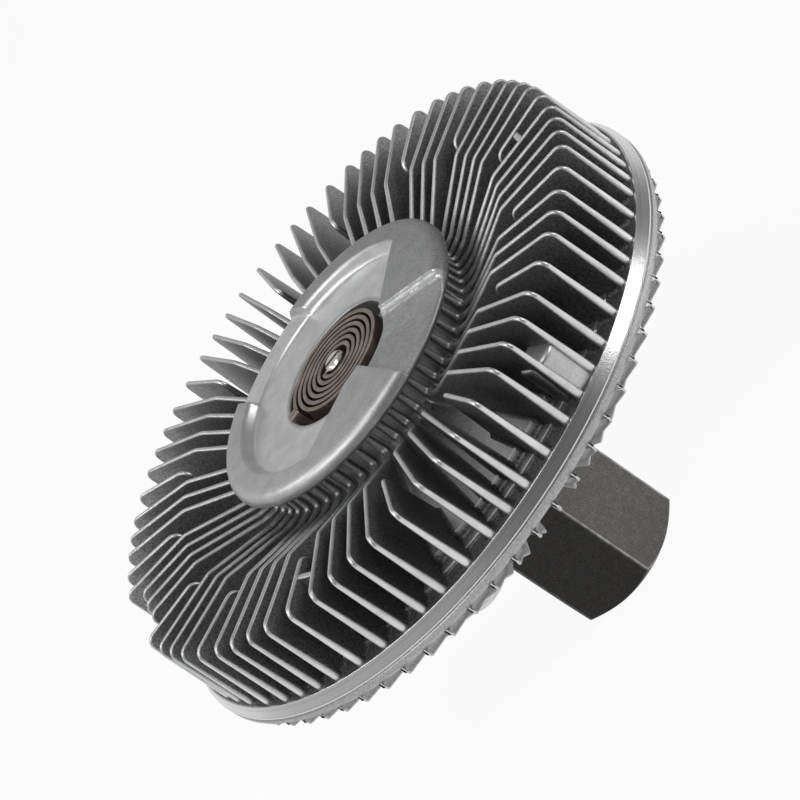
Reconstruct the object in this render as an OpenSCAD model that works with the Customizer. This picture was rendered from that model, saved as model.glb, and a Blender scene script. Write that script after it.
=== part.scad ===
// Viscous fan clutch, spin-on type.
// The axis is Z. The origin is the centre of the hexagon's open end, and +Z points to the coil at the front.

/* [Hex drive] */
// Width of the hexagon across its flats
hex_af = 36; // [34:0.5:38]
// Length of the hexagon
hex_len = 40; // [36:1:44]
// Turn of the hexagon about the axis
hex_turn = 42.5; // [0:0.5:60]
// Core diameter of the inner thread
thread_core_d = 28.4; // [26:0.1:29.5]
// Metal between the end of the thread and the collar
thread_floor = 16; // [14:0.5:20]
// Countersink at the mouth of the threaded hole, measured along the axis
thread_lead = 1.2; // [0.5:0.1:1.5]
// Slope of the drill point at the end of the threaded hole
drill_slope = 0.33; // [0.1:0.01:0.4]
// Length of the conical chamfer on the hexagon's corners
hex_chamfer = 2.6; // [1:0.1:4]
// Width of the rounded edge inside that chamfer's end
hex_face_edge = 0.4; // [0.2:0.1:0.6]

/* [Shaft] */
// Diameter of the collar that the bearing sits against
collar_d = 31; // [29:0.5:32]
// Length of the collar
collar_len = 4; // [3.5:0.5:8]
// Diameter of the seat that the rotor is pressed on
rotor_seat_d = 20; // [18:0.5:22]
// Diameter of the peened shaft end
shaft_end_d = 16; // [14:0.5:17]
// Thickness of the washer under the peened end
retainer_t = 1.8; // [1.2:0.1:1.9]
// Radial width of that washer
retainer_w = 7; // [5:0.5:9]
// Height of the peened edge above the washer
peen_h = 0.3; // [0.1:0.1:0.5]

/* [Bearing] */
// Bore of the ball bearing
bearing_bore_d = 25; // [24:0.5:26]
// Outside diameter of the ball bearing
bearing_od = 52; // [51:0.5:54]
// Width of the ball bearing
bearing_w = 15; // [14:0.5:17]
// Share of a ball in the room between the bore and the outside
ball_share = 0.57; // [0.55:0.01:0.58]
// Number of balls
ball_count = 9; // [7:1:10]
// Clearance between a ball and its raceways
race_gap = 0.25; // [0.2:0.05:0.3]
// Radial thickness of the cage
cage_t = 3.6; // [3.2:0.1:4]
// Clearance between the cage and the shoulders of the rings
cage_gap = 1.05; // [0.8:0.05:1.2]
// Width of the cage beside a ball
cage_side = 0.85; // [0.6:0.05:1]
// Clearance between a ball and its pocket
pocket_gap = 0.15; // [0.1:0.05:0.2]
// Thickness of the bearing shields
shield_t = 0.6; // [0.4:0.1:0.8]
// Depth of the shields below the bearing faces
shield_inset = 0.8; // [0.5:0.1:1]
// Gap between a shield and the inner ring
shield_gap = 0.5; // [0.3:0.1:0.8]

/* [Snap ring] */
// Thickness of the snap ring
snap_t = 1.5; // [1.2:0.1:2]
// Radial width of the snap ring
snap_w = 2.8; // [2.5:0.1:3.2]
// Depth of the snap ring's groove beyond the bearing bore
snap_groove = 1.3; // [1:0.1:1.6]
// Clearance of the snap ring in its groove
snap_gap = 0.1; // [0.05:0.05:0.15]
// Opening of the snap ring
snap_open_deg = 34; // [28:1:50]
// Diameter of the eyes at the ring's ends
snap_eye_d = 4.4; // [4:0.1:5]
// Diameter of the holes in those eyes
snap_hole_d = 2; // [1.6:0.1:2.2]

/* [Rear housing] */
// Outside diameter of the rim
rim_d = 168.4; // [165:0.2:173]
// Radial width of the rolled lip's sloping band
lip_slope_w = 1.9; // [1.8:0.1:2.2]
// Height of that band along the axis
lip_slope_h = 2.8; // [2.2:0.1:3]
// Width of the flat on the lip's front edge
lip_land = 0.2; // [0.1:0.1:0.4]
// Wall outside the cover's flange
lip_wall = 1.3; // [1.2:0.1:1.5]
// Thickness of the cover's flange
flange_t = 4; // [3.8:0.1:5]
// Height of the bevel that the lip is rolled over
flange_bevel = 1.8; // [1.4:0.1:2]
// Radial width of the seat from the flange's edge to the working chamber
seat_w = 13.4; // [12.5:0.1:14]
// Depth of the working chamber in the housing
chamber_depth = 5; // [4.8:0.1:5.4]
// Thickness of the shoulder in front of the bearing
shoulder_t = 5; // [4:0.5:6]
// Radial width of that shoulder over the bearing
shoulder_w = 5.5; // [4:0.1:6]
// Wall of the hub round the bearing
rear_hub_wall = 7; // [6:0.5:8]
// Length of the hub behind the snap ring
hub_mouth = 1.5; // [1:0.1:1.8]
// Chamfer of the hub's rear edge
hub_chamfer = 1; // [0.5:0.1:1.2]
// Height of the rim's band behind the flange seat
band_h = 2.6; // [2.5:0.1:3.5]
// Chamfer of the rim's rear edge
rim_chamfer = 1.5; // [1:0.1:1.6]
// Width of the groove turned in the rim
rim_groove = 0.8; // [0.6:0.1:1]
// Distance of that groove from the lip
rim_groove_gap = 0.3; // [0.2:0.1:0.4]
// Wall behind the working chamber
wall_t = 4; // [3.5:0.1:4.6]
// Drop of the conical rear wall from the chamber's edge to the hub
wall_drop = 8; // [6:0.5:9]
// Number of rear fins
rear_fins = 69; // [60:1:70]
// Turn of the rear fins about the axis
rear_fin_turn = 2; // [0:0.1:5]
// Thickness of a rear fin
rear_fin_t = 1.7; // [1.5:0.1:1.9]
// Height of a rear fin on the conical wall
rear_fin_h = 4.6; // [4:0.1:5]
// Height of a rear fin at the rim
rear_fin_rim_h = 1.6; // [1.2:0.1:2]
// Slanted corner of a rear fin at the rim
rear_fin_cut = 1.2; // [0.8:0.1:1.6]
// Distance from the hub to the inner ends of the rear fins
rear_fin_clear = 9; // [7:0.5:11]
// Slant of the rear fins' inner ends
rear_fin_slant = 3; // [2:0.5:4]

/* [Fan bolts] */
// Number of fan bolt holes
bolt_count = 4; // [3:1:6]
// Bolt circle of the fan
bolt_pcd = 110; // [106:1:114]
// Core diameter of the bolt threads
bolt_core_d = 6.8; // [6:0.1:7]
// Diameter of the bolt bosses
bolt_boss_d = 13; // [12:0.5:14]
// Depth of the bolt holes
bolt_depth = 11; // [10:0.5:12]
// Metal between a hole's end and the working chamber
bolt_floor = 2; // [1.5:0.1:2.5]

/* [Cover seal] */
// Cord diameter of the seal between cover and housing
seal_d = 2.2; // [1.8:0.1:2.4]
// Land between the working chamber and the seal's groove
seal_land = 0.8; // [0.6:0.1:1]

/* [Rotor] */
// Clearance round the rotor
rotor_rim_gap = 2; // [1.5:0.1:2.5]
// Clearance behind the rotor
rotor_gap = 1.2; // [1:0.1:1.5]
// Thickness of the rotor's web
rotor_web_t = 4.3; // [4:0.1:4.8]
// Wall of the rotor's hub
rotor_hub_wall = 5; // [4:0.5:6]
// Number of ring lands on the rotor
land_count = 4; // [3:1:4]
// Radial pitch of the lands
land_pitch = 6; // [5.6:0.1:6]
// Radial width of a land
land_t = 2.4; // [2:0.1:2.5]
// Height of a land
land_h = 3.7; // [3.5:0.1:4]
// Clearance in front of the lands
land_gap = 0.8; // [0.6:0.1:1]
// Distance of the outer land from the rotor's edge
land_rim = 3.6; // [3:0.1:4]

/* [Reservoir and valve] */
// Distance from the rotor's inner land to the edge of the partition plate
plate_gap = 4; // [3.6:0.1:4.6]
// Thickness of the partition plate
plate_t = 1.4; // [1:0.1:1.5]
// Diameter of the valve hole in the plate
port_d = 7; // [5:0.5:8]
// Distance of the valve hole's centre from the reservoir's wall
port_inset = 8; // [7:0.5:9]
// Width of the land that the plate's edge rests on
plate_land = 9.6; // [9:0.1:10.4]
// Height of the reservoir
reservoir_h = 8.6; // [8:0.1:9.4]
// Number of rivets in the partition plate
rivet_count = 4; // [3:1:6]
// Shank diameter of a rivet
rivet_d = 3; // [2.5:0.1:3.2]
// Length of a rivet in the cover
rivet_len = 6; // [5:0.5:6.5]
// Head diameter of a rivet
rivet_head_d = 6; // [5:0.5:7]
// Head height of a rivet
rivet_head_h = 1.2; // [0.8:0.1:1.4]
// Diameter of the valve shaft
valve_d = 6; // [5:0.5:6.5]
// Radial clearance of the valve shaft in the cover
valve_gap = 0.05; // [0.02:0.01:0.1]
// Radial width of the valve shaft's collar
valve_collar_w = 1.5; // [1:0.1:2]
// Height of that collar
valve_collar_h = 2; // [1.5:0.1:3]
// End play of the valve shaft under the reservoir's roof
valve_play = 0.3; // [0.2:0.1:0.5]
// Step of the spigot that carries the valve arm
valve_spigot = 0.5; // [0.4:0.1:0.8]
// Chamfer of the valve shaft's front end
valve_chamfer = 0.6; // [0.3:0.1:0.8]
// Thickness of the valve arm
arm_t = 1; // [0.8:0.1:1.4]
// Clearance between valve arm and partition plate
arm_gap = 0.5; // [0.3:0.1:0.8]
// Width of the valve arm
arm_w = 11; // [9:0.5:12]
// Diameter of the valve arm's hub
arm_hub_d = 13; // [12.5:0.5:15]
// Cord diameter of the valve shaft's seal
valve_seal_d = 1.1; // [0.9:0.1:1.2]
// Room beside that seal in its groove
valve_seal_room = 0.2; // [0.1:0.1:0.3]
// Thickness of the clip on the valve shaft
clip_t = 0.7; // [0.5:0.1:0.8]
// Diameter of the clip
clip_d = 10; // [9:0.5:12]
// Depth of the clip's groove in the valve shaft
clip_groove = 0.7; // [0.5:0.1:0.9]
// Clearance under the clip
clip_gap = 0.1; // [0.05:0.05:0.2]

/* [Front cover] */
// Wall over the working chamber, beside the flange
cover_wall = 2.2; // [2:0.1:3]
// Radial width of the flange in front of the lip
flange_w = 9.9; // [9:0.1:10.5]
// Draft of the step behind the flange
step_draft = 0.5; // [0.3:0.1:0.8]
// Rise of the floor between the fins, from that step to the neck
floor_rise = 5.8; // [5:0.1:7]
// Fillet between floor and neck
neck_fillet = 2.6; // [2:0.1:3]
// Thickness of the cover between reservoir and coil
roof_t = 5; // [4.8:0.1:5.6]
// Depth of the coil's well below the hub face
well_depth = 5.8; // [5.4:0.1:6.2]
// Diameter of the coil's well
well_d = 35; // [34:0.5:36]
// Depth of the hub face below the hub's raised rim
face_depth = 3; // [2.6:0.1:3.4]
// Diameter of the sunk hub face
face_d = 64; // [62:0.5:66]
// Step between the sunk face and the ends of its channel
face_step = 0.6; // [0.4:0.1:1]
// Outside diameter of the hub
hub_d = 80.6; // [79:0.2:82]
// Overhang of the hub over its neck
hub_overhang = 5.8; // [5:0.1:6.2]
// Thickness of the hub's edge
hub_edge = 4.4; // [4.2:0.1:5]
// Rounding of the hub's front edge
hub_round = 2; // [1.5:0.1:2.4]
// Chamfer of the hub's rear edge
hub_rear_chamfer = 1; // [0.6:0.1:1.4]
// Width of the sloping side of the raised sector beside the channel
facet_w = 6; // [4:0.1:7]
// Width of the channel where it leaves the hub away from the sectors
channel_w = 26.5; // [24:0.5:28]
// Distance of that channel's side from the axis
channel_side = 10; // [9:0.5:12]

/* [Front fins] */
// Thickness of a fin at its crest
fin_t = 1.4; // [1.2:0.1:1.8]
// Thickness of a fin at its root
fin_root_t = 2.6; // [2.2:0.1:3]
// Distance of the fins' front corners from the rim
fin_inset = 2.9; // [2.7:0.1:3.6]
// Distance that the feet of the fins stand out beyond the corners
fin_lean = 0.7; // [0:0.1:0.8]
// Depth of the fins' outer corners below the hub's front
fin_corner_drop = 1.2; // [0.8:0.1:2.4]
// Rounding of those corners
fin_round = 2.6; // [1.5:0.1:3.5]
// Depth of the fins' bends below the hub's front
fin_bend_drop = 2.6; // [2.4:0.1:3.2]
// Radial length of the crest between corner and bend
fin_crest_w = 22.3; // [20:0.1:25]
// Depth of the groove round the neck below the hub's underside
fin_groove_drop = 5.4; // [4.5:0.1:6]
// Radial width of the groove's bottom
fin_groove_w = 3.7; // [3:0.1:5]
// Rise of the crest across the groove's bottom
fin_groove_fall = 0.5; // [0.2:0.1:1]
// Radial width of the fins where they climb the neck
fin_rib_w = 4.5; // [4:0.1:5]
// Radial width of the fins under the hub
fin_rib_top = 0.8; // [0.5:0.1:1.2]
// Angle between neighbouring long fins at the rim
fin_rim_deg = 4.7; // [4.6:0.05:4.9]
// Radial length of a short fin's crest
short_fin_len = 19.4; // [18:0.1:21]
// Rounding of a short fin's inner corner
short_fin_round = 3; // [2:0.1:3.5]
// Slant of a short fin's inner end
short_fin_slant = 1; // [0.5:0.1:2]
// Thickness of the webs beside two short fins
web_t = 1.8; // [1.4:0.1:2.2]
// Distance of the webs from the fins' outer corners
web_inset = 11.9; // [10:0.1:13]
// Depth of a web below the fins' corners at the short fin
web_drop = 1.2; // [0.8:0.1:2]
// Fall of a web towards the next long fin
web_fall = 3; // [2:0.5:5]
// Diameter of the pad near the rim
pad_d = 10.4; // [9:0.2:11]
// Height of the pad above the flange
pad_h = 12.2; // [10:0.1:14]
// Distance of the pad from the lip
pad_inset = 0.8; // [0.4:0.1:1.2]

/* [Coil] */
// Outside diameter of the bimetal coil
coil_d = 29; // [28:0.1:30]
// Thickness of the strip
strip_t = 1; // [0.8:0.05:1.05]
// Width of the strip along the axis
strip_w = 5.3; // [4.5:0.1:5.4]
// Number of half turns
half_turns = 12; // [10:2:12]
// Gap between the strip and the floor of the well
coil_gap = 1.1; // [1:0.05:1.3]
// Clearance of the strip in the slots of shaft and cover
strip_gap = 0.12; // [0.1:0.01:0.15]
// Length of the strip's outer end in the cover's slot
strip_hold = 3.4; // [2.5:0.1:4]
// Height of the valve shaft above the strip
valve_top = 0.8; // [0.4:0.1:0.8]
// Angle of the slots that hold the ends of the strip
anchor_deg = 240; // [200:1:250]

/* [Hidden] */
$fn = 96;

// Overlap that makes cuts and joined roots clean
eps = 0.5;
// Depth of a fin's root inside the wall that carries it
root = 1.5;

// Heights along the axis, stacked from the hexagon's open end
z_collar = hex_len;
z_bearing = z_collar + collar_len;
z_snap = z_bearing - snap_t;
z_mouth = z_snap - hub_mouth;
z_shoulder = z_bearing + bearing_w;
z_chamber = z_shoulder + shoulder_t;
z_rotor = z_chamber + rotor_gap;
z_web = z_rotor + rotor_web_t;
z_shaft_end = z_web + retainer_t + peen_h;
z_seat = z_chamber + chamber_depth;
z_rim = z_seat + flange_t;
z_cover = z_web + land_h + land_gap;
z_step = z_cover + cover_wall;
z_neck = z_step + floor_rise;
z_plate = z_cover - plate_t;
z_arm = z_cover + arm_gap;
z_roof = z_cover + reservoir_h;
z_well = z_roof + roof_t;
z_face = z_well + well_depth;
z_hub = z_face + face_depth;
z_under = z_hub - hub_edge;
z_coil = z_well + coil_gap;
z_pin_top = z_coil + strip_w + valve_top;

// Radii, from the rim inwards
rim_r = rim_d / 2;
lip_edge_r = rim_r - lip_slope_w;
flange_r = rim_r - lip_wall;
step_r = flange_r - flange_w;
chamber_r = flange_r - seat_w;
rotor_r = chamber_r - rotor_rim_gap;
land_in_r = rotor_r - land_rim - land_t - (land_count - 1) * land_pitch;
plate_r = land_in_r - plate_gap;
reservoir_r = plate_r - plate_land;
rivet_r = plate_r - plate_land / 2;
port_r = reservoir_r - port_inset;
hub_r = hub_d / 2;
neck_r = hub_r - hub_overhang;
well_r = well_d / 2;
valve_r = valve_d / 2;

// Bearing
bearing_r = bearing_od / 2;
pitch_r = (bearing_bore_d + bearing_od) / 4;
ball_r = ball_share * (bearing_od - bearing_bore_d) / 4;
inner_land_r = pitch_r - cage_t / 2 - cage_gap;
outer_land_r = pitch_r + cage_t / 2 + cage_gap;
z_balls = z_bearing + bearing_w / 2;

function polar(r, a) = [r * cos(a), r * sin(a)];

// Points of an arc from angle a0 to a1 about a centre
function arc(c, r, a0, a1, steps) = [for (i = [0:steps]) c + polar(r, a0 + (a1 - a0) * i / steps)];

function reversed(list) = [for (i = [len(list) - 1:-1:0]) list[i]];

// A solid of revolution with a profile of radius and height
module turned(profile) rotate_extrude() polygon(profile);

// A ring with a rectangular section
module ring(r_in, r_out, z0, z1) turned([[r_in, z0], [r_out, z0], [r_out, z1], [r_in, z1]]);

module disc(z, h, d) translate([0, 0, z]) cylinder(h = h, d = d);

// A plate that stands in the XZ plane, centred on Y
module upright(profile, t) rotate([90, 0, 0]) linear_extrude(t, center = true) polygon(profile);

// A bar along X whose section lies in the YZ plane
module bar(section, length) rotate([90, 0, 90]) linear_extrude(length) polygon(section);

module around(count, start = 0) for (i = [0:count - 1]) rotate([0, 0, start + 360 * i / count]) children();

// The hexagon, the collar and the bearing seat are one forging
module input_shaft() color("dimgray") difference() {
    corner_r = hex_af / sqrt(3);
    face_r = hex_af / 2 - hex_face_edge;
    thread_r = thread_core_d / 2;
    thread_end = hex_len - thread_floor;
    union() {
        intersection() {
            rotate([0, 0, hex_turn]) cylinder(h = hex_len, r = corner_r, $fn = 6);
            turned([
                [0, 0], [face_r, 0], [corner_r + eps, hex_chamfer],
                [corner_r + eps, hex_len - hex_chamfer], [face_r, hex_len], [0, hex_len]
            ]);
        }
        turned([
            [0, z_collar - eps], [collar_d / 2, z_collar - eps], [collar_d / 2, z_bearing],
            [bearing_bore_d / 2, z_bearing], [bearing_bore_d / 2, z_shoulder],
            [rotor_seat_d / 2, z_shoulder], [rotor_seat_d / 2, z_web], [shaft_end_d / 2, z_web],
            [shaft_end_d / 2, z_shaft_end], [0, z_shaft_end]
        ]);
    }
    turned([
        [0, -eps], [thread_r + thread_lead + eps, -eps], [thread_r, thread_lead],
        [thread_r, thread_end], [0, thread_end + thread_r * drill_slope]
    ]);
}

module raceway() rotate_extrude() translate([pitch_r, z_balls]) circle(r = ball_r + race_gap);

module bearing_inner_ring() color("lightgray") difference() {
    ring(bearing_bore_d / 2, inner_land_r, z_bearing, z_shoulder);
    raceway();
}

module bearing_outer_ring() color("lightgray") difference() {
    ring(outer_land_r, bearing_r, z_bearing, z_shoulder);
    raceway();
}

module at_balls() around(ball_count) translate([pitch_r, 0, z_balls]) children();

module bearing_balls() color("gainsboro") at_balls() sphere(r = ball_r);

module bearing_cage() color("peru") difference() {
    half_w = ball_r + cage_side;
    ring(pitch_r - cage_t / 2, pitch_r + cage_t / 2, z_balls - half_w, z_balls + half_w);
    at_balls() sphere(r = ball_r + pocket_gap);
}

module shield(z) color("silver") ring(inner_land_r + shield_gap, outer_land_r, z, z + shield_t);
module bearing_shield_rear() shield(z_bearing + shield_inset);
module bearing_shield_front() shield(z_shoulder - shield_inset - shield_t);

// Inner radius of the snap ring, and the places of its two eyes
snap_in_r = bearing_r + snap_groove - snap_gap - snap_w;
module at_snap_eyes() for (side = [1, -1]) rotate([0, 0, side * snap_open_deg / 2])
    translate([snap_in_r, 0, 0]) children();

module bearing_retaining_ring() color("darkslategray") difference() {
    union() {
        rotate([0, 0, snap_open_deg / 2]) rotate_extrude(angle = 360 - snap_open_deg)
            translate([snap_in_r, z_snap]) square([snap_w, snap_t]);
        at_snap_eyes() disc(z_snap, snap_t, snap_eye_d);
    }
    at_snap_eyes() disc(z_snap - eps, snap_t + 2 * eps, snap_hole_d);
}

// Rear surface of the housing's wall: the rim's band, then a cone down to the bearing hub
z_band = z_seat - band_h;
z_rear_wall = z_chamber - wall_t;
rear_hub_r = bearing_r + rear_hub_wall;
band_r = rim_r - rim_chamfer;
function wall_z(r) = z_rear_wall - wall_drop * (chamber_r - r) / (chamber_r - rear_hub_r);

module rear_fin() {
    r_in = rear_hub_r + rear_fin_clear;
    z_low = z_band - rear_fin_rim_h;
    upright([
        [band_r, z_band + root], [band_r, z_low], [band_r - rear_fin_cut, z_low - rear_fin_cut],
        [chamber_r, z_rear_wall - rear_fin_h],
        [r_in + rear_fin_slant, wall_z(r_in + rear_fin_slant) - rear_fin_h],
        [r_in, wall_z(r_in) + root], [chamber_r, z_rear_wall + root]
    ], rear_fin_t);
}

module at_bolts() around(bolt_count, 180 / bolt_count) translate([bolt_pcd / 2, 0, 0]) children();

// The housing is cast in one with its fins and bosses, and its lip is rolled over the cover's flange
module rear_housing() color("darkgray") difference() {
    groove_r = chamber_r + seal_land;
    z_lip = z_rim - lip_slope_h;
    z_groove = z_lip - rim_groove_gap - rim_groove;
    z_boss = z_chamber - bolt_floor - bolt_depth;
    union() {
        turned([
            [bearing_r, z_mouth], [rear_hub_r - hub_chamfer, z_mouth], [rear_hub_r, z_mouth + hub_chamfer],
            [rear_hub_r, wall_z(rear_hub_r)], [chamber_r, z_rear_wall],
            [band_r, z_band], [rim_r, z_band + rim_chamfer],
            [rim_r, z_groove], [rim_r - rim_groove / 2, z_groove + rim_groove / 2],
            [rim_r, z_groove + rim_groove], [rim_r, z_lip],
            [lip_edge_r + lip_land, z_rim], [lip_edge_r, z_rim], [flange_r, z_rim - flange_bevel],
            [flange_r, z_seat], [chamber_r, z_seat], [chamber_r, z_chamber],
            [bearing_r - shoulder_w, z_chamber], [bearing_r - shoulder_w, z_shoulder], [bearing_r, z_shoulder]
        ]);
        around(rear_fins, rear_fin_turn) rear_fin();
        at_bolts() disc(z_boss, bolt_depth, bolt_boss_d);
    }
    at_bolts() disc(z_boss - eps, bolt_depth + eps, bolt_core_d);
    ring(groove_r, groove_r + seal_d, z_seat - seal_d, z_seat + eps);
    ring(bearing_r - eps, bearing_r + snap_groove, z_snap - snap_gap, z_bearing);
}

module cover_seal() color("black") rotate_extrude()
    translate([chamber_r + seal_land + seal_d / 2, z_seat - seal_d / 2]) circle(d = seal_d);

// Profile of a comb of ring lands, from inner radius r outwards, that stand up from height z
function comb(r, n, z, h) = [
    for (i = [0:n - 1]) let (a = r + i * land_pitch)
        each [[a, z], [a, z + h], [a + land_t, z + h], [a + land_t, z]]
];

module rotor() color("silver") {
    hub = rotor_seat_d / 2 + rotor_hub_wall;
    turned(concat(
        [[rotor_seat_d / 2, z_shoulder], [hub, z_shoulder], [hub, z_rotor]],
        [[rotor_r, z_rotor], [rotor_r, z_web]],
        reversed(comb(land_in_r, land_count, z_web, land_h)),
        [[rotor_seat_d / 2, z_web]]
    ));
}

module rotor_retainer() color("gray")
    ring(shaft_end_d / 2, shaft_end_d / 2 + retainer_w, z_web, z_web + retainer_t);

module at_rivets() around(rivet_count, 180 / rivet_count) translate([rivet_r, 0, 0]) children();

module pump_plate() color("lightsteelblue") difference() {
    disc(z_plate, plate_t, 2 * plate_r);
    translate([port_r, 0, 0]) disc(z_plate - eps, plate_t + 2 * eps, port_d);
    at_rivets() disc(z_plate - eps, plate_t + 2 * eps, rivet_d);
}

module pump_plate_rivets() color("silver") at_rivets() {
    disc(z_plate, plate_t + rivet_len, rivet_d);
    disc(z_plate - rivet_head_h, rivet_head_h, rivet_head_d);
}

module valve_arm() color("goldenrod") difference() {
    union() {
        disc(z_arm, arm_t, arm_hub_d);
        translate([0, -arm_w / 2, z_arm]) cube([port_r, arm_w, arm_t]);
        translate([port_r, 0, 0]) disc(z_arm, arm_t, arm_w);
    }
    disc(z_arm - eps, arm_t + 2 * eps, valve_d - 2 * valve_spigot);
}

// Grooves of the valve shaft
z_valve_seal = z_roof + roof_t / 2;
z_clip = z_well + clip_gap;

// Where the strip's ends are held: a bar of the strip's section, wider by a gap all round
module strip_end(r0, r1, gap = 0) rotate([0, 0, anchor_deg])
    translate([r0, -strip_t / 2 - gap, z_coil - gap]) cube([r1 - r0, strip_t + 2 * gap, strip_w + 2 * gap]);

module valve_shaft() color("whitesmoke") difference() {
    spigot_r = valve_r - valve_spigot;
    collar_r = valve_r + valve_collar_w;
    z_stop = z_roof - valve_play;
    groove_r = valve_r - valve_seal_d;
    half_groove = (valve_seal_d + valve_seal_room) / 2;
    clip_r = valve_r - clip_groove;
    turned([
        [0, z_arm], [spigot_r, z_arm], [spigot_r, z_arm + arm_t], [valve_r, z_arm + arm_t],
        [valve_r, z_stop - valve_collar_h], [collar_r, z_stop - valve_collar_h], [collar_r, z_stop],
        [valve_r, z_stop], [valve_r, z_valve_seal - half_groove], [groove_r, z_valve_seal - half_groove],
        [groove_r, z_valve_seal + half_groove], [valve_r, z_valve_seal + half_groove],
        [valve_r, z_clip], [clip_r, z_clip], [clip_r, z_clip + clip_t], [valve_r, z_clip + clip_t],
        [valve_r, z_pin_top - valve_chamfer], [valve_r - valve_chamfer, z_pin_top], [0, z_pin_top]
    ]);
    for (z = [0, strip_w / 2]) translate([0, 0, z]) strip_end(-valve_d, valve_d, strip_gap);
}

module valve_shaft_seal() color("black") rotate_extrude()
    translate([valve_r - valve_seal_d / 2, z_valve_seal]) circle(d = valve_seal_d);

module valve_shaft_clip() color("gray") ring(valve_r - clip_groove, clip_d / 2, z_clip, z_clip + clip_t);

// Layout of the front fins: long fins in groups, with a short fin between two groups
fin_groups = [4, 3, 4, 4, 3, 4, 3, 4, 4, 3, 4, 3, 4, 4, 3];
function fins_before(k) = k == 0 ? 0 : fins_before(k - 1) + fin_groups[k - 1];
long_fins = fins_before(len(fin_groups));
hub_deg = 360 / long_fins;
// Angle at the rim between a short fin and the long fins beside it
beside_deg = (180 - fin_rim_deg * (long_fins - len(fin_groups)) / 2) / len(fin_groups);
function group_width(k) = fin_rim_deg * (fin_groups[k] - 1) + 2 * beside_deg;
function short_deg(k) = k == 0 ? -group_width(0) / 2 : short_deg(k - 1) + group_width(k - 1);
// Places of long fin i of group k at the rim and on the neck
function rim_place(k, i) = short_deg(k) + beside_deg + fin_rim_deg * i;
function neck_place(k, i) = hub_deg * (fins_before(k) + i - (fin_groups[0] - 1) / 2);
// The webs stand at the end of this group and, mirrored, on the other side of the pad
web_group = 2;

// Side view of the fins
fin_r = rim_r - fin_inset;
z_corner = z_hub - fin_corner_drop;
z_bend = z_hub - fin_bend_drop;
z_crest = max(z_corner, z_bend) + eps;
z_fin_groove = z_under - fin_groove_drop;
fin_rib_r = neck_r + fin_rib_w;
short_r = fin_r - short_fin_len;
// The rounded front corner ends where the crest starts its slow fall to the bend
corner_end_deg = 94;
fin_outer = concat(
    [[fin_r + fin_lean, z_rim - root]],
    arc([fin_r - fin_round, z_corner - fin_round], fin_round, 0, corner_end_deg, 3)
);
fin_root = [[step_r - root, z_step - root], [step_r + root, z_rim - root]];
long_fin_side = concat(
    fin_outer,
    [
        [fin_r - fin_crest_w, z_bend], [fin_rib_r + fin_groove_w, z_fin_groove],
        [fin_rib_r, z_fin_groove - fin_groove_fall], [neck_r + fin_rib_top, z_under + eps],
        [neck_r - eps, z_under + eps], [neck_r - eps, z_neck - 2 * root]
    ],
    fin_root
);
short_fin_side = concat(
    fin_outer,
    arc([short_r + short_fin_round, z_bend - short_fin_round], short_fin_round, 90, 180, 3),
    [[short_r - short_fin_slant, z_step]],
    fin_root
);

// A fin with draft: its side view cut by a tapered section
module drafted(side) intersection() {
    upright(side, 2 * fin_root_t);
    bar([
        [-fin_root_t / 2, z_rim - 2 * root], [fin_root_t / 2, z_rim - 2 * root],
        [fin_t / 2, z_crest], [-fin_t / 2, z_crest]
    ], rim_r);
}

// A long fin runs straight from its place on the neck to its place at the rim
module long_fin(hub_angle, rim_angle) {
    way = polar(fin_r, rim_angle) - polar(neck_r, hub_angle);
    heading = atan2(way[1], way[0]);
    rotate([0, 0, heading]) translate([0, neck_r * sin(hub_angle - heading), 0]) drafted(long_fin_side);
}

module front_fins() for (k = [0:len(fin_groups) - 1]) {
    rotate([0, 0, short_deg(k)]) drafted(short_fin_side);
    for (i = [0:fin_groups[k] - 1]) long_fin(neck_place(k, i), rim_place(k, i));
}

// A web joins a short fin to the long fin before it, and falls towards the long one
module web() {
    r = fin_r - web_inset;
    from_deg = rim_place(web_group, fin_groups[web_group] - 1);
    half = r * sin((short_deg(web_group + 1) - from_deg) / 2);
    z_top = z_corner - web_drop;
    rotate([0, 0, (short_deg(web_group + 1) + from_deg) / 2]) translate([r - web_t / 2, 0, 0]) bar([
        [-half, z_step - root], [half, z_step - root], [half, z_top], [-half, z_top - web_fall]
    ], web_t);
}

// The two raised sectors of the hub face: the place of the tip and the directions of the sides
sector_a = [14, 12];
sector_a_sides = [25.2, 117];
sector_b = [16, -7];
sector_b_sides = [-116.5, -8.7];
module sector(tip, sides) polygon([
    tip, tip + polar(hub_d, sides[0]), tip + polar(2 * hub_d, (sides[0] + sides[1]) / 2),
    tip + polar(hub_d, sides[1])
]);
module sectors() {
    sector(sector_a, sector_a_sides);
    sector(sector_b, sector_b_sides);
}
// Sloping side of the first sector, from its edge down to the channel
module facet() translate(sector_a) rotate([0, 0, sector_a_sides[0]])
    bar([
        [eps, z_face - eps], [eps, z_hub + eps * face_depth / facet_w],
        [-facet_w, z_face], [-facet_w, z_face - eps]
    ], hub_d);

// Room above the hub face: the sunk disc, and a channel that leaves the hub on both sides
module face_room() difference() {
    union() {
        translate([0, 0, z_face]) linear_extrude(face_depth + eps) circle(d = face_d);
        translate([0, 0, z_face + face_step]) linear_extrude(face_depth + eps) {
            translate([-hub_d, -channel_side]) square([hub_d, channel_w]);
            translate([0, -channel_w / 2]) square([hub_d, 1.5 * channel_w]);
        }
    }
    translate([0, 0, z_face - eps]) linear_extrude(face_depth + 4 * eps) sectors();
    facet();
}

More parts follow.
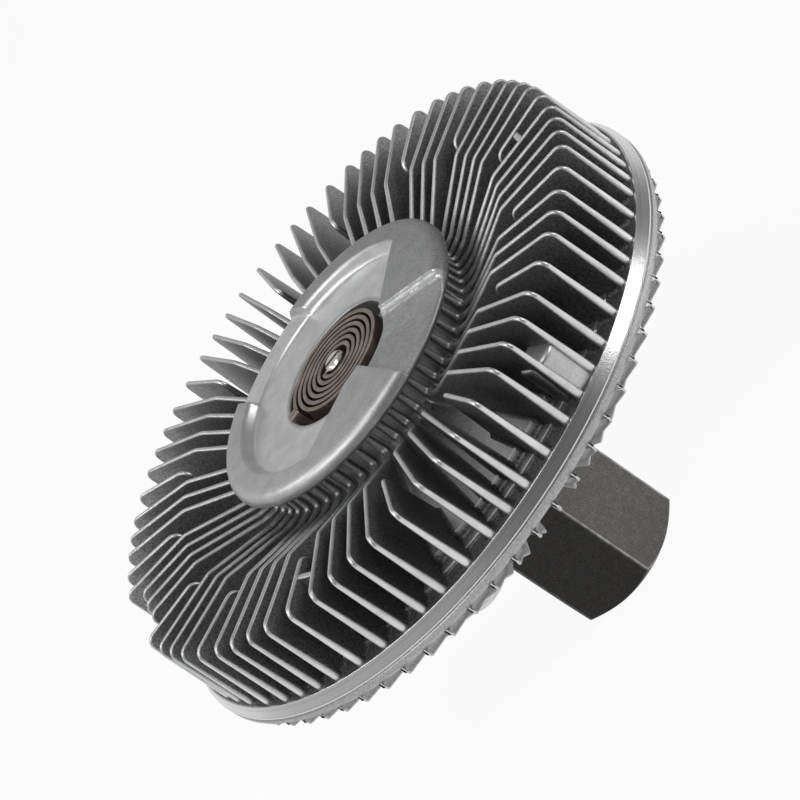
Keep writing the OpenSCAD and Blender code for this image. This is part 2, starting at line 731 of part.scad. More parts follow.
module front_cover() color("silver") difference() {
    union() {
        turned(concat(
            [[valve_r + valve_gap, z_roof], [reservoir_r, z_roof], [reservoir_r, z_cover]],
            comb(land_in_r + land_pitch / 2, land_count - 1, z_cover, -land_h),
            [
                [chamber_r, z_cover], [chamber_r, z_seat], [flange_r, z_seat],
                [flange_r, z_rim - flange_bevel], [lip_edge_r, z_rim],
                [step_r, z_rim], [step_r - step_draft, z_step], [neck_r + neck_fillet, z_neck],
                [neck_r, z_neck + neck_fillet], [neck_r, z_under],
                [hub_r - hub_rear_chamfer, z_under], [hub_r, z_under + hub_rear_chamfer]
            ],
            arc([hub_r - hub_round, z_hub - hub_round], hub_round, 0, 90, 8),
            [[valve_r + valve_gap, z_hub]]
        ));
        front_fins();
        for (side = [0, 1]) mirror([0, side, 0]) web();
        translate([lip_edge_r - pad_inset - pad_d / 2, 0, 0]) disc(z_rim - root, pad_h + root, pad_d);
    }
    face_room();
    disc(z_well, well_depth + eps, well_d);
    rotate([0, 0, anchor_deg]) translate([coil_d / 2, -strip_t / 2 - strip_gap, z_well])
        cube([well_r + strip_hold + strip_gap - coil_d / 2, strip_t + 2 * strip_gap, z_hub]);
    at_rivets() disc(z_cover - eps, rivet_len + eps, rivet_d);
}

// The coil is a chain of half rings whose centres alternate, with a straight end inside and outside
module bimetal_coil() color("saddlebrown") {
    r_last = (coil_d - strip_t) / 2;
    r_first = valve_r + strip_t;
    step = (r_last - r_first) / half_turns;
    strip_end(-valve_r, r_first);
    strip_end(r_last, well_r + strip_hold);
    for (i = [0:half_turns - 1])
        rotate([0, 0, anchor_deg + 180 * i]) translate([step / 2, 0, z_coil])
            rotate_extrude(angle = 180) translate([r_last - (i + 0.5) * step - strip_t / 2, 0])
            square([strip_t, strip_w]);
}

input_shaft();
bearing_inner_ring();
bearing_outer_ring();
bearing_balls();
bearing_cage();
bearing_shield_rear();
bearing_shield_front();
bearing_retaining_ring();
rear_housing();
cover_seal();
rotor();
rotor_retainer();
pump_plate();
pump_plate_rivets();
valve_arm();
valve_shaft();
valve_shaft_seal();
valve_shaft_clip();
front_cover();
bimetal_coil();
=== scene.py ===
import math

import bmesh
import bpy
from mathutils import Matrix, Vector


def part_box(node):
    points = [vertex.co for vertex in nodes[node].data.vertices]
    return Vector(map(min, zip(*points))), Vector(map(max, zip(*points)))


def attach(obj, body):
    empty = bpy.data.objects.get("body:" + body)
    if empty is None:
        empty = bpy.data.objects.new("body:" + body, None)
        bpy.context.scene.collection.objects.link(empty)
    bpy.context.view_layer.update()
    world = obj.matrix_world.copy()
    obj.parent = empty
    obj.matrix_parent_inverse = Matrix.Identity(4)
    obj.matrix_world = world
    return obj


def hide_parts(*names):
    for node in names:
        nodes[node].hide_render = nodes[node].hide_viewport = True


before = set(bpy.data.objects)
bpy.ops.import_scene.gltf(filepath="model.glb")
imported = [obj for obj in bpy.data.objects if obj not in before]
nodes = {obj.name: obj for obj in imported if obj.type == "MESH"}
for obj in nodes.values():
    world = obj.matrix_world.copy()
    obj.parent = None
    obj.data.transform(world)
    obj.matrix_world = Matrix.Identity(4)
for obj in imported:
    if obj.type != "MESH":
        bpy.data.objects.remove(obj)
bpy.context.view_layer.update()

# The drive end: a hexagon for the spanner, a collar and a bearing seat, forged and turned from one bar.
# The steel has a dark phosphate skin with brown flecks, rubbed lighter along its corners.
# Its open end is tapped and spins on to the nose of the water pump.
MM = 0.001


def add(tree, kind, inputs=(), **settings):
    """A shader node with its settings; an input is a value, or the socket that feeds it."""
    made = tree.nodes.new("ShaderNode" + kind)
    for key, value in settings.items():
        setattr(made, key, value)
    for key, value in dict(inputs).items():
        if isinstance(value, bpy.types.NodeSocket):
            tree.links.new(value, made.inputs[key])
        else:
            made.inputs[key].default_value = value
    return made


def blend(tree, mask, low, high):
    """A colour that goes from low to high as the mask goes from 0 to 1."""
    mix = add(tree, "Mix", data_type="RGBA")
    for index, value in ((0, mask), (6, low), (7, high)):
        if isinstance(value, bpy.types.NodeSocket):
            tree.links.new(value, mix.inputs[index])
        else:
            mix.inputs[index].default_value = value
    return mix.outputs[2]


def ranged(tree, value, low, high, to_low=0.0, to_high=1.0):
    """The value, moved from one range to another and held inside it."""
    sockets = {"Value": value, "From Min": low, "From Max": high, "To Min": to_low, "To Max": to_high}
    return add(tree, "MapRange", sockets).outputs["Result"]


def calc(tree, operation, first, second):
    """The sum, product or other result of two values."""
    return add(tree, "Math", {0: first, 1: second}, operation=operation).outputs[0]


def grey(value, warmth=0.0):
    """A grey of that brightness, a little warmer or colder."""
    return (value * (1 + warmth), value, value * (1 - warmth), 1)


def effect(name, inputs, outputs):
    """An empty node group with named values as inputs and outputs."""
    tree = bpy.data.node_groups.new(name, "ShaderNodeTree")
    for label, start in inputs.items():
        socket = tree.interface.new_socket(name=label, in_out="INPUT", socket_type="NodeSocketFloat")
        socket.default_value = start
    for label in outputs:
        tree.interface.new_socket(name=label, in_out="OUTPUT", socket_type="NodeSocketFloat")
    return tree, tree.nodes.new("NodeGroupInput"), tree.nodes.new("NodeGroupOutput")


def placed(tree, group, inputs):
    """The node group, placed in a material with that material's own values."""
    made = tree.nodes.new("ShaderNodeGroup")
    made.node_tree = group
    for key, value in inputs.items():
        made.inputs[key].default_value = value
    return made


# Metal that was cast or forged is mottled, with fine flecks and a grainy surface
grain, grain_in, grain_out = effect(
    "Metal grain", {"Patch": 220, "Fleck": 2400}, ["Patches", "Flecks", "Height"])
grain_place = add(grain, "TexCoord").outputs["Object"]
patches = add(grain, "TexNoise", {"Vector": grain_place, "Detail": 3.0, "Scale": grain_in.outputs["Patch"]})
flecks = add(grain, "TexNoise", {"Vector": grain_place, "Detail": 2.0, "Scale": grain_in.outputs["Fleck"]})
grain.links.new(ranged(grain, patches.outputs[0], 0.35, 0.65), grain_out.inputs["Patches"])
grain.links.new(ranged(grain, flecks.outputs[0], 0.36, 0.66), grain_out.inputs["Flecks"])
grain.links.new(calc(grain, "ADD", patches.outputs[0], flecks.outputs[0]), grain_out.inputs["Height"])


def metal(name, roughness, metallic=1.0):
    """A new metal with its shader, for its node tree to be filled in."""
    material = bpy.data.materials.new(name)
    material.use_nodes = True
    shader = material.node_tree.nodes["Principled BSDF"]
    shader.inputs["Metallic"].default_value = metallic
    shader.inputs["Roughness"].default_value = roughness
    return material, material.node_tree, shader


def bumped(tree, shader, height, strength, distance):
    """A fine relief on the shader's surface; the distance is in millimetres."""
    bump = add(tree, "Bump", {"Height": height, "Strength": strength, "Distance": distance * MM})
    tree.links.new(bump.outputs["Normal"], shader.inputs["Normal"])


phosphate, tree, shader = metal("Phosphated steel", 0.6, metallic=0.0)
shader.inputs["Specular IOR Level"].default_value = 0.25
skin = placed(tree, grain, {"Patch": 420, "Fleck": 2600})
base = blend(tree, skin.outputs["Patches"], grey(0.034, 0.05), grey(0.05, 0.11))
base = blend(tree, skin.outputs["Flecks"], grey(0.022, 0.05), base)
hex_corner_r, hex_end_r, hex_chamfer, hex_len = 20.78, 17.6, 2.6, 40
worn_from, worn_to = hex_corner_r - 0.27, hex_corner_r - 0.19
place = add(tree, "SeparateXYZ", {0: add(tree, "TexCoord").outputs["Object"]})
from_axis = add(tree, "CombineXYZ", {0: place.outputs[0], 1: place.outputs[1]})
out = add(tree, "VectorMath", {0: from_axis.outputs[0]}, operation="LENGTH").outputs["Value"]
along = place.outputs[2]
cone_r = ranged(tree, along, 0, hex_chamfer * MM, hex_end_r * MM, hex_corner_r * MM)
on_hexagon = calc(tree, "LESS_THAN", along, (hex_len - hex_chamfer) * MM)
corner = ranged(tree, out, worn_from * MM, worn_to * MM)
broken_corner = calc(tree, "MULTIPLY", corner, ranged(tree, skin.outputs["Patches"], 0, 1, 0.4, 1.0))
base = blend(tree, calc(tree, "MULTIPLY", broken_corner, on_hexagon), base, grey(0.17, 0.03))
near_end = calc(tree, "LESS_THAN", along, (hex_chamfer + 0.1) * MM)
chamfer = ranged(tree, calc(tree, "SUBTRACT", out, cone_r), -0.12 * MM, -0.02 * MM)
base = blend(tree, calc(tree, "MULTIPLY", chamfer, near_end), base, grey(0.13, 0.03))
tree.links.new(base, shader.inputs["Base Color"])
tree.links.new(ranged(tree, skin.outputs["Flecks"], 0, 1, 0.7, 0.55), shader.inputs["Roughness"])
bumped(tree, shader, skin.outputs["Height"], 0.35, 0.08)


def dress(name, material, bevel=0.0, angle=30):
    """Gives a solid its finish, and breaks its sharp edges by a bevel in millimetres."""
    solid = nodes[name]
    solid.data.materials.clear()
    solid.data.materials.append(material)
    if bevel:
        weld = solid.modifiers.new("Joined corners", "WELD")
        weld.merge_threshold = 0.002 * MM
        flat = solid.modifiers.new("Whole faces", "DECIMATE")
        flat.decimate_type = "DISSOLVE"
        flat.angle_limit = math.radians(1)
        broken = solid.modifiers.new("Broken edges", "BEVEL")
        broken.width = bevel * MM
        broken.segments = 3
        broken.limit_method = "ANGLE"
        broken.angle_limit = math.radians(angle)
        broken.use_clamp_overlap = True
        broken.harden_normals = True
    return solid


dress("input_shaft", phosphate, bevel=0.32)

# The ball bearing between shaft and housing: two rings of through hardened steel with ground faces,
# nine balls in a moulded cage, and a pressed shield on each side.
# A blackened snap ring behind it holds it in the housing.
lathe, lathe_in, lathe_out = effect("Turning marks", {"Lines": 2500}, ["Lines", "Height"])
place = add(lathe, "SeparateXYZ", {0: add(lathe, "TexCoord").outputs["Object"]})
from_axis = add(lathe, "CombineXYZ", {0: place.outputs[0], 1: place.outputs[1]})
radius = add(lathe, "VectorMath", {0: from_axis.outputs[0]}, operation="LENGTH").outputs["Value"]
along = calc(lathe, "MULTIPLY", calc(lathe, "ADD", radius, place.outputs[2]), lathe_in.outputs["Lines"])
marks = add(lathe, "TexNoise", {"W": along, "Scale": 1.0, "Detail": 2.0}, noise_dimensions="1D")
lathe.links.new(ranged(lathe, marks.outputs[0], 0.3, 0.7), lathe_out.inputs["Lines"])
lathe.links.new(marks.outputs[0], lathe_out.inputs["Height"])


def turned_metal(name, dark, light, roughness, lines=2500, relief=0.02):
    """A metal with fine turning marks round the axis."""
    material, tree, shader = metal(name, roughness)
    cut = placed(tree, lathe, {"Lines": lines})
    skin = placed(tree, grain, {"Patch": 160, "Fleck": 1800})
    base = blend(tree, cut.outputs["Lines"], dark, light)
    base = blend(tree, ranged(tree, skin.outputs["Patches"], 0, 1, 0.0, 0.35), base, dark)
    tree.links.new(base, shader.inputs["Base Color"])
    gloss = ranged(tree, cut.outputs["Lines"], 0, 1, roughness + 0.08, roughness - 0.06)
    tree.links.new(gloss, shader.inputs["Roughness"])
    bumped(tree, shader, cut.outputs["Height"], 0.25, relief)
    return material


ground_steel = turned_metal("Ground bearing steel", grey(0.5), grey(0.64), 0.24, lines=4200, relief=0.006)
shield_steel = turned_metal(
    "Pressed shield steel", grey(0.42), grey(0.55, 0.02), 0.3, lines=1600, relief=0.01)
black_spring = turned_metal(
    "Blackened spring steel", grey(0.05), grey(0.09, 0.04), 0.42, lines=2200, relief=0.01)
cage_plastic, tree, shader = metal("Moulded cage", 0.45, metallic=0.0)
skin = placed(tree, grain, {"Patch": 300, "Fleck": 3000})
tree.links.new(blend(tree, skin.outputs["Patches"], (0.3, 0.16, 0.06, 1), (0.36, 0.2, 0.08, 1)),
               shader.inputs["Base Color"])
bumped(tree, shader, skin.outputs["Height"], 0.2, 0.02)
for ring in ("bearing_inner_ring", "bearing_outer_ring"):
    dress(ring, ground_steel, bevel=0.4)
dress("bearing_balls", ground_steel)
dress("bearing_cage", cage_plastic)
for shield in ("bearing_shield_rear", "bearing_shield_front"):
    dress(shield, shield_steel, bevel=0.2)
dress("bearing_retaining_ring", black_spring, bevel=0.2)

# The rear housing: an aluminium casting with a ring of fins behind, turned at the rim and bored
# for the bearing. Its lip is rolled over the cover's edge, and four bosses are tapped for the fan.
rear_low, rear_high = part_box("rear_housing")
rim_r = rear_high.x / MM
z_rim = rear_high.z / MM


def rounded(points, steps=5):
    """A path through points of (radius, height, rounding), with an arc at each rounded corner."""
    path = []
    for i, (x, z, round_r) in enumerate(points):
        corner = Vector((x, z))
        if not round_r:
            path.append(corner)
            continue
        back = (Vector(points[i - 1][:2]) - corner).normalized()
        ahead = (Vector(points[(i + 1) % len(points)][:2]) - corner).normalized()
        half = back.angle(ahead) / 2
        centre = corner + (back + ahead).normalized() * (round_r / math.sin(half))
        start = corner + back * (round_r / math.tan(half)) - centre
        sweep = start.angle_signed(corner + ahead * (round_r / math.tan(half)) - centre)
        for step in range(steps + 1):
            path.append(centre + Matrix.Rotation(-sweep * step / steps, 2) @ start)
    return path


def turned(bm, profile, steps, centre=(0, 0)):
    """A closed skin: a profile of (radius, height) turned round an upright axis. Returns its rings."""
    rings = []
    for point in profile:
        ring = []
        for i in range(steps):
            angle = math.tau * i / steps
            x, y = centre[0] + point[0] * math.cos(angle), centre[1] + point[0] * math.sin(angle)
            ring.append(bm.verts.new((x * MM, y * MM, point[1] * MM)))
        rings.append(ring)
    for low, high in zip(rings, rings[1:] + rings[:1]):
        for i in range(steps):
            bm.faces.new((low[i - 1], low[i], high[i], high[i - 1]))
    return rings


def mesh_piece(bm, name, material, angle=40):
    """A smooth shaded object from the skins in bm."""
    bmesh.ops.recalc_face_normals(bm, faces=bm.faces)
    mesh = bpy.data.meshes.new(name)
    bm.to_mesh(mesh)
    bm.free()
    mesh.materials.append(material)
    mesh.shade_smooth()
    mesh.set_sharp_from_angle(angle=math.radians(angle))
    piece = bpy.data.objects.new(name, mesh)
    bpy.context.scene.collection.objects.link(piece)
    flat = piece.modifiers.new("Flat faces stay flat", "WEIGHTED_NORMAL")
    flat.keep_sharp = True
    return piece


def normals(path, side):
    """Unit normals of an open path, on its left (side 1) or right (side -1)."""
    made = []
    for i in range(len(path)):
        way = path[min(i + 1, len(path) - 1)] - path[max(i - 1, 0)]
        made.append(Vector((-way.y, way.x)).normalized() * side)
    return made


# Turns of the rounded crest's rows with their brightness, which falls as the crest turns into the flank as
# a painted highlight, and of the rows of the fillets at its foot
crest_rows = ((35, 0.9), (65, 0.42), (90, 0.1))
foot_rows = (0, 30, 60, 85)


def fin_shell(bm, skin, crest, floor, half, place, gloss=lambda p: 1.0, fillet=lambda p: 1.2,
              base=lambda p: 0.0, sink=2.0):
    """A cast fin as a closed skin: a rounded crest, flat drafted flanks, and fillets along the floor.
    The crest runs up the outer edge and inwards, the floor runs inwards below it.
    Half gives the half thickness at a height, gloss how bright the crest is at a point of it, rubbed and
    with a painted highlight, and fillet and base the radius and the brightness of its foot at a point of
    the floor. Each flank shades from the crest's last row to its foot, as painted shade down into the gap."""
    to_frame = Matrix.Scale(MM, 4) @ place
    crest_in, floor_out = normals(crest, 1), normals(floor, -1)

    def vertex(point, wide, bright):
        made = bm.verts.new(to_frame @ Vector((point.x, wide, point.y)))
        made[skin] = bright
        return made

    sides = []
    shine = [gloss(p) for p in crest]
    ridge = [vertex(p, 0, lit) for p, lit in zip(crest, shine)]
    for sign in (1, -1):
        rows = [ridge]
        for turn, bright in crest_rows:
            arc = math.radians(turn)
            row = []
            for p, n, lit in zip(crest, crest_in, shine):
                q = p + n * half(p.y) * (1 - math.cos(arc))
                row.append(vertex(q, sign * half(q.y) * math.sin(arc), bright * lit))
            rows.append(row)
        feet = []
        for turn in foot_rows:
            arc = math.radians(turn)
            row = []
            for p, n in zip(floor, floor_out):
                q = p + n * fillet(p) * (1 - math.sin(arc))
                row.append(vertex(q, sign * (half(q.y) + fillet(p) * (1 - math.cos(arc))), base(p)))
            feet.append(row)
        last = [vertex(p - n * sink, sign * (half(p.y) + fillet(p)), 0.0) for p, n in zip(floor, floor_out)]
        feet.append(last)
        sides.append((rows, feet))
        for strips in (rows, feet):
            for low, high in zip(strips, strips[1:]):
                for i in range(1, len(low)):
                    bm.faces.new((low[i - 1], low[i], high[i], high[i - 1]))
        # The flank joins the crest's last row to the foot, so its colour darkens towards the floor as
        # painted shade
        bm.faces.new(rows[-1] + feet[0][::-1])
    (rows, feet), (rows_b, feet_b) = sides
    for i in range(1, len(floor)):
        bm.faces.new((feet[-1][i - 1], feet[-1][i], feet_b[-1][i], feet_b[-1][i - 1]))
    for end in (0, -1):
        bm.faces.new([row[end] for row in rows[::-1]] + [row[end] for row in rows_b[1:]])
        bm.faces.new([rows[-1][end]] + [row[end] for row in feet]
                     + [row[end] for row in feet_b[::-1]] + [rows_b[-1][end]])


def around(angle):
    """The turn about the axis by an angle in degrees."""
    return Matrix.Rotation(math.radians(angle), 4, "Z")


rear_hub_r, bearing_r, chamber_r = 33, 26, 69.5
flange_r, lip_edge_r, band_r = 82.9, 82.3, 82.7
flange_bevel, groove_w, groove_deep = 1.8, 0.8, 0.4
z_mouth, z_seat = rear_low.z / MM, z_rim - 4
z_chamber, z_lip, z_band = z_seat - 5, z_rim - 2.8, z_seat - 2.6
z_shoulder, z_rear_wall, z_hub_wall = z_chamber - 5, z_chamber - 4, z_chamber - 12
z_bearing = z_shoulder - 15
z_groove = z_lip - 1.1
shoulder_r, snap_r, snap_w = 20.5, 27.2, 1.6
rear_profile = rounded([
    (bearing_r, z_mouth, 0.5), (rear_hub_r - 1, z_mouth, 0.4), (rear_hub_r, z_mouth + 1, 0.4),
    (rear_hub_r, z_hub_wall, 2.5), (chamber_r, z_rear_wall, 6), (band_r, z_band, 0.5),
    (rim_r, z_band + 1.5, 0.5), (rim_r, z_groove, 0.1), (rim_r - groove_deep, z_groove + groove_w / 2, 0.1),
    (rim_r, z_groove + groove_w, 0.1), (rim_r, z_lip, 0.4), (lip_edge_r + 0.4, z_rim, 0.25),
    (lip_edge_r, z_rim, 0), (flange_r, z_rim - flange_bevel, 0), (flange_r, z_seat, 0),
    (chamber_r, z_seat, 0), (chamber_r, z_chamber, 0), (shoulder_r, z_chamber, 0),
    (shoulder_r, z_shoulder, 0), (bearing_r, z_shoulder, 0), (bearing_r, z_bearing, 0),
    (snap_r, z_bearing, 0), (snap_r, z_bearing - snap_w, 0), (bearing_r, z_bearing - snap_w, 0),
])
turn_steps = 256
turned_skin, band_skin, boss_skin, fin_gloss = 1.0, 0.2, 0.8, 0.7
rear = bmesh.new()
rear_skin = rear.verts.layers.float.new("bright")
for ring in turned(rear, rear_profile, turn_steps):
    for vertex in ring:
        edge_r = math.hypot(vertex.co.x, vertex.co.y) / MM
        height = vertex.co.z / MM
        if edge_r > band_r - 0.5:
            vertex[rear_skin] = turned_skin if height > z_lip - 0.5 else band_skin
        else:
            vertex[rear_skin] = turned_skin if edge_r < rear_hub_r - 0.5 else 0.0
rear_fin_count, rear_fin_turn, rear_fin_half, rear_fillet = 69, 2, 0.4, 1.5


def from_below(path):
    """A path turned over, so that a fin below a wall is built like one above a floor."""
    return [Vector((p.x, -p.y)) for p in path]


fin_low = rounded([
    (band_r, z_band + 1.5, 0), (band_r, z_band - 2.7, 0.8), (74, z_band - 6.6, 4),
    (chamber_r - 3, z_rear_wall - 5, 3), (45, z_rear_wall - 10, 2.5), (42, z_rear_wall - 4, 0),
])
fin_wall = rounded([(band_r - 0.4, z_band, 0), (chamber_r, z_rear_wall, 6), (43.5, z_rear_wall - 4.8, 0)])
over = Matrix.Diagonal((1, 1, -1, 1))
# Each rear fin gets a painted highlight on its crest and painted shade down its flanks
for i in range(rear_fin_count):
    fin_shell(rear, rear_skin, from_below(fin_low), from_below(fin_wall),
              lambda z: rear_fin_half, around(rear_fin_turn + 360 * i / rear_fin_count) @ over,
              lambda p: fin_gloss, lambda p: rear_fillet)
bolt_count, bolt_turn = 4, 45
bolt_r, boss_r, core_r, bolt_depth = 55, 6.5, 3.4, 11
boss_face_rings = 12
z_boss = z_chamber - 13
for i in range(bolt_count):
    middle = around(bolt_turn + 360 * i / bolt_count) @ Vector((bolt_r, 0, 0))
    boss = rounded([(core_r, z_boss, 0.5), (boss_r, z_boss, 0.5), (boss_r, z_boss + bolt_depth, 0),
                    (core_r, z_boss + bolt_depth, 0)])
    for ring in turned(rear, boss, 48, middle)[:boss_face_rings]:
        for vertex in ring:
            vertex[rear_skin] = boss_skin
cast_rear, tree, shader = metal("Cast aluminium, rear", 0.42)
skin = placed(tree, grain, {"Patch": 260, "Fleck": 1900})
cut = placed(tree, lathe, {"Lines": 1400})
bright = add(tree, "Attribute", attribute_name="bright").outputs["Fac"]
base = blend(tree, skin.outputs["Flecks"], grey(0.26, -0.01), grey(0.42, -0.005))
base = blend(tree, bright, base, blend(tree, cut.outputs["Lines"], grey(0.58), grey(0.74)))
tree.links.new(base, shader.inputs["Base Color"])
tree.links.new(ranged(tree, bright, 0, 1, 0.5, 0.27), shader.inputs["Roughness"])
bumped(tree, shader, skin.outputs["Height"], 0.3, 0.06)
rear_casting = mesh_piece(rear, "rear_casting", cast_rear)
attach(rear_casting, "housing")
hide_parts("rear_housing")

# What runs inside: the turned rotor on the shaft with its peened washer, the rubber ring that seals
# the cover, and the partition plate with its rivets. None of it shows until the clutch is opened.
rotor_metal = turned_metal("Turned rotor aluminium", grey(0.5), grey(0.66), 0.3, lines=1200, relief=0.02)
plate_steel = turned_metal("Rolled plate steel", grey(0.42), grey(0.56, 0.02), 0.34, lines=900, relief=0.01)
seal_rubber, tree, shader = metal("Seal rubber", 0.6, metallic=0.0)
skin = placed(tree, grain, {"Patch": 500, "Fleck": 4000})
tree.links.new(blend(tree, skin.outputs["Patches"], grey(0.02), grey(0.035)), shader.inputs["Base Color"])
bumped(tree, shader, skin.outputs["Height"], 0.2, 0.02)
dress("rotor", rotor_metal, bevel=0.25)
dress("rotor_retainer", plate_steel, bevel=0.2)
dress("cover_seal", seal_rubber)
dress("pump_plate", plate_steel, bevel=0.15)
dress("pump_plate_rivets", plate_steel, bevel=0.25)

# The valve: a bright ground shaft through the cover with its seal and clip, and a sprung arm over the port.
# The coil turns it by the slot in its front end.
bright_steel = turned_metal(
    "Bright ground steel", grey(0.7, 0.01), grey(0.86, 0.02), 0.2, lines=3600, relief=0.008)
dress("valve_shaft", bright_steel, bevel=0.25)
dress("valve_arm", plate_steel, bevel=0.15)
dress("valve_shaft_seal", seal_rubber)
dress("valve_shaft_clip", black_spring, bevel=0.12)

# The front cover: one aluminium casting with a raised hub, a sunk hub face round the coil's well,
# and fifty four long and fifteen short cooling fins, three of them milled back to balance it.
# The skin is as cast between the fins, and rubbed bright on the crests and the hub; the crests also carry a
# painted highlight, and painted shade darkens the flanks, the crests down in the groove round the neck, and
# one side of the hub's raised parts.
hub_r, neck_r, face_r, well_r = 40.3, 34.5, 31.9, 17.5
z_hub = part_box("front_cover")[1].z / MM
z_face, z_under = z_hub - 3, z_hub - 4.4
z_well, z_cover = z_face - 5.8, z_rim + 1
z_roof = z_well - 5
z_step, z_neck, step_r = z_cover + 2.2, z_cover + 8, 73
exit_step, exit_w = 0.6, 0.6
ledge_r, z_ledge = 77, z_rim + 0.8
cover_floor = [(lip_edge_r, z_rim, 0), (step_r, z_rim, 1.5), (step_r - 0.5, z_step, 0.8),
               (neck_r, z_neck + 0.4, 2.8)]
ledge = [(ledge_r, z_rim, 0.4), (ledge_r - 0.3, z_ledge, 0.25), (step_r, z_ledge, 1),
         (step_r - 0.5, z_step, 0.3)]


def ramp(distance, width):
    """0 outside an edge and 1 inside it, with an S-shaped slope of that width across it."""
    t = min(1.0, max(0.0, distance / width + 0.5))
    return t * t * (3 - 2 * t)


def past(x, y, tip, direction):
    """Distance of a point to the left of a line through tip in that direction, in degrees."""
    a = math.radians(direction)
    return (y - tip[1]) * math.cos(a) - (x - tip[0]) * math.sin(a)


sector_a, sector_a_sides = (14, 12), (25.2, 117)
sector_b, sector_b_sides = (16.3, -3.4), (-92, -8.7)
edge_w, ledge_w, facet_w, rim_slope = 1.3, 1.9, 6.5, 2.4
channel_low, channel_high = -10, 16.5
outlet_low, outlet_high = -13.25, 26.5
bead_h, bead_w = 0.3, 0.25
step_w, upper_step, lower_step = 0.5, 0.25, 0.2


def hub_face(x, y):
    """Height of the hub's front: the rim, the sunk face, its channel and the two raised sectors."""
    out = math.hypot(x, y) - face_r
    if x < 0:
        channel = ramp(min(y - channel_low, channel_high - y), edge_w)
    else:
        channel = ramp(min(y - outlet_low, outlet_high - y), edge_w)
    raised = z_hub - z_face
    rim = exit_step * ramp(out, exit_w) + (raised - exit_step) * ramp(out, rim_slope) * (1 - channel)
    to_channel = past(x, y, sector_a, sector_a_sides[0])
    to_face = -past(x, y, sector_a, sector_a_sides[1])
    slope = min(1.0, max(0.0, 1 + (to_channel + ledge_w) / facet_w))
    stepped = upper_step * ramp(to_channel, step_w) + lower_step * ramp(to_channel + ledge_w, step_w)
    stepped += (1 - upper_step - lower_step) * slope
    bead = max(0.0, 1 - abs(to_channel) / bead_w) + max(0.0, 1 - abs(to_channel + ledge_w) / bead_w)
    first = (raised * stepped + bead_h * bead) * ramp(to_face, edge_w)
    inside_b = min(past(x, y, sector_b, sector_b_sides[0]), -past(x, y, sector_b, sector_b_sides[1]))
    second = raised * ramp(inside_b, edge_w)
    return z_face + max(rim, first, second)


cover = bmesh.new()
bright_layer = cover.verts.layers.float.new("bright")
hub_round, neck_skin = 3, 0.4
hub_side = rounded(cover_floor[:1] + ledge + cover_floor[3:] + [
    (neck_r, z_under, 1.2), (hub_r - 1, z_under, 0.4), (hub_r, z_under + 1, 0.4),
    (hub_r, z_hub, hub_round), (hub_r - hub_round, z_hub, 0),
], 6)
# Rings of the hub's top, closest together where the rim slopes down to the sunk face
rim_rings = [36.6 - 0.6 * i for i in range(5)] + [33.6 - 0.3 * i for i in range(12)]
face_rings = [29.8 - 0.9 * i for i in range(13)]
hub_top = [Vector((r, z_hub)) for r in rim_rings + face_rings]
valve_hole_r, reservoir_r = 3.05, 29.9
well = rounded([
    (well_r + 1, z_face, 0), (well_r, z_face, 0.5), (well_r, z_well, 0.6), (valve_hole_r, z_well, 0),
    (valve_hole_r, z_roof, 0), (reservoir_r, z_roof, 0), (reservoir_r, z_cover, 0), (chamber_r, z_cover, 0),
    (chamber_r, z_seat, 0), (flange_r, z_seat, 0), (flange_r, z_rim - flange_bevel, 0),
])[1:]
rings = turned(cover, hub_side + hub_top + well, turn_steps)
round_rings = 8
top_rings = rings[len(hub_side) - round_rings:len(hub_side) + len(hub_top)]
top_verts = {v for ring in top_rings for v in ring}
# The hub's top gets edges along each bead and slope, at these distances from the line in its middle
slope_cuts = (0.65, 0.3, 0, -0.3, -0.65)
outlet_cuts = (bead_w, 0, -bead_w, bead_w - ledge_w, -ledge_w, -bead_w - ledge_w, -ledge_w - facet_w)
lines = []
for tip, direction, offsets in (
    (sector_a, sector_a_sides[0], outlet_cuts),
    (sector_a, sector_a_sides[1], slope_cuts),
    (sector_b, sector_b_sides[0], slope_cuts),
    (sector_b, sector_b_sides[1], slope_cuts),
    ((0, channel_low), 0, slope_cuts),
    ((0, channel_high), 0, slope_cuts),
):
    a = math.radians(direction)
    for offset in offsets:
        lines.append((Vector((tip[0] - offset * math.sin(a), tip[1] + offset * math.cos(a), 0)) * MM,
                      Vector((-math.sin(a), math.cos(a), 0))))
for point, across in lines:
    faces = [f for f in cover.faces if all(v in top_verts for v in f.verts)]
    edges = {e for f in faces for e in f.edges}
    verts = {v for f in faces for v in f.verts}
    top = list(verts) + list(edges) + faces
    cut = bmesh.ops.bisect_plane(cover, geom=top, plane_co=point, plane_no=across)
    top_verts.update(v for v in cut["geom_cut"] if isinstance(v, bmesh.types.BMVert))
face_skin, outlet_skin, side_skin, well_skin, edge_highlight = 0.95, 0.38, 0.7, 0.45, 0.75
